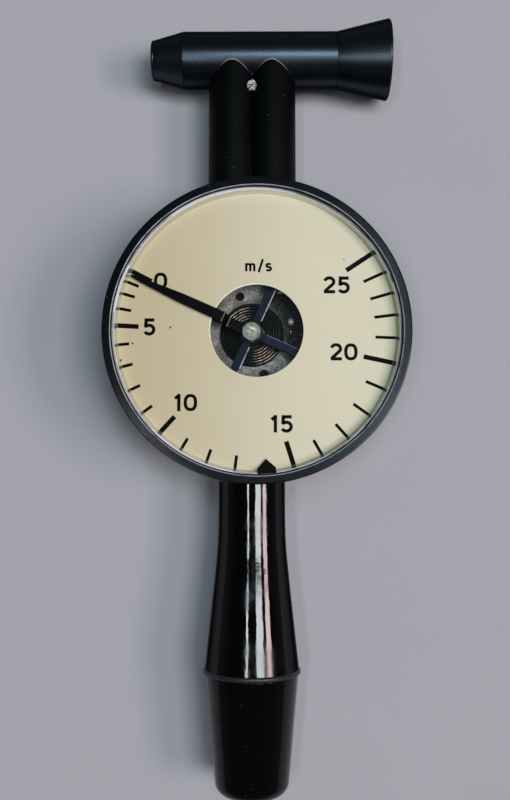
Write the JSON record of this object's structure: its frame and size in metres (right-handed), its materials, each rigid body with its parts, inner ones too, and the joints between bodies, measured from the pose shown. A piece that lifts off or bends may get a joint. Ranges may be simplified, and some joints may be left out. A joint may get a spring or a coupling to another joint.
{
  "type": "hand anemometer",
  "caption": "Hand-held wind speed meter: round dial case with pointer and hairspring, two wind pipes to a nozzle and bell head, and a turned handle.",
  "frame": {"origin": "on the rotor's axis, in the plane of the case's flat back; the case's own axis is 1.75 mm towards +X", "axes": "+Z out of the dial, +Y along the pipes towards the head, +X towards the bell"},
  "size_m": [0.1001, 0.2671, 0.04],
  "materials": {
    "case_black": "satin black moulding",
    "bezel_black": "satin black enamel",
    "clear_crystal": "clear acrylic",
    "black_rubber": "matt",
    "pale_ring": "matt cream",
    "cream_dial": "matt cream enamel",
    "tab_black": "matt black",
    "grey_casting": "cast, bead blasted",
    "cover_black": "matt black",
    "screw_steel": "bright zinc plated",
    "bearing_brass": "turned",
    "shaft_steel": "ground",
    "vane_aluminium": "rolled sheet",
    "spring_bronze": "phosphor bronze strip",
    "carrier_grey": "grey, bead blasted",
    "cross_blue": "blue-black",
    "pointer_black": "matt black",
    "nut_nickel": "dull nickel plating",
    "head_black": "satin black moulding",
    "pipe_black": "matt black moulding",
    "handle_gloss": "polished black moulding",
    "ring_matt": "matt black"
  },
  "bodies": {
    "case": {"case_body": "case_black", "bezel": "bezel_black", "crystal": "clear_crystal", "crystal_gasket": "black_rubber", "pipe_seals": "black_rubber", "spacer_ring": "pale_ring", "dial_plate": "cream_dial", "index_tab": "tab_black", "tunnel_block": "grey_casting", "chamber_cover": "cover_black", "head_septum": "cover_black", "cover_screws": "screw_steel", "case_screws": "screw_steel", "carrier_screws": "screw_steel", "head_screw": "screw_steel", "handle_stud": "screw_steel", "handle_nut": "screw_steel", "front_bearing": "bearing_brass", "rear_bearing": "bearing_brass", "head_tube": "head_black", "inlet_nozzle": "head_black", "outlet_bell": "head_black", "inlet_pipe": "pipe_black", "outlet_pipe": "pipe_black", "handle_grip": "handle_gloss", "handle_cap": "handle_gloss", "handle_ring": "ring_matt"},
    "carrier": {"spring_carrier": "carrier_grey", "spring_stud": "shaft_steel", "hairspring": "spring_bronze"},
    "rotor": {"rotor_shaft": "shaft_steel", "vane_hub": "vane_aluminium", "vane": "vane_aluminium", "vane_rivets": "bearing_brass", "spring_collet": "bearing_brass", "pointer_cross": "cross_blue", "balance_weights": "bearing_brass", "pointer": "pointer_black", "hub_nut": "nut_nickel"}
  },
  "joints": [
    {"name": "zero_adjust", "type": "hinge", "parent": "case", "child": "carrier", "pos_m": [0, 0, 0.0242], "axis": [0, 0, 1], "range_deg": [-10, 10], "deforming": ["hairspring"]},
    {"name": "rotor_turn", "type": "hinge", "parent": "carrier", "child": "rotor", "pos_m": [0, 0, 0.0242], "axis": [0, 0, 1], "range_deg": [-3, 245], "stiffness_Nm_per_rad": 0.0001, "deforming": ["hairspring"]}
  ]
}
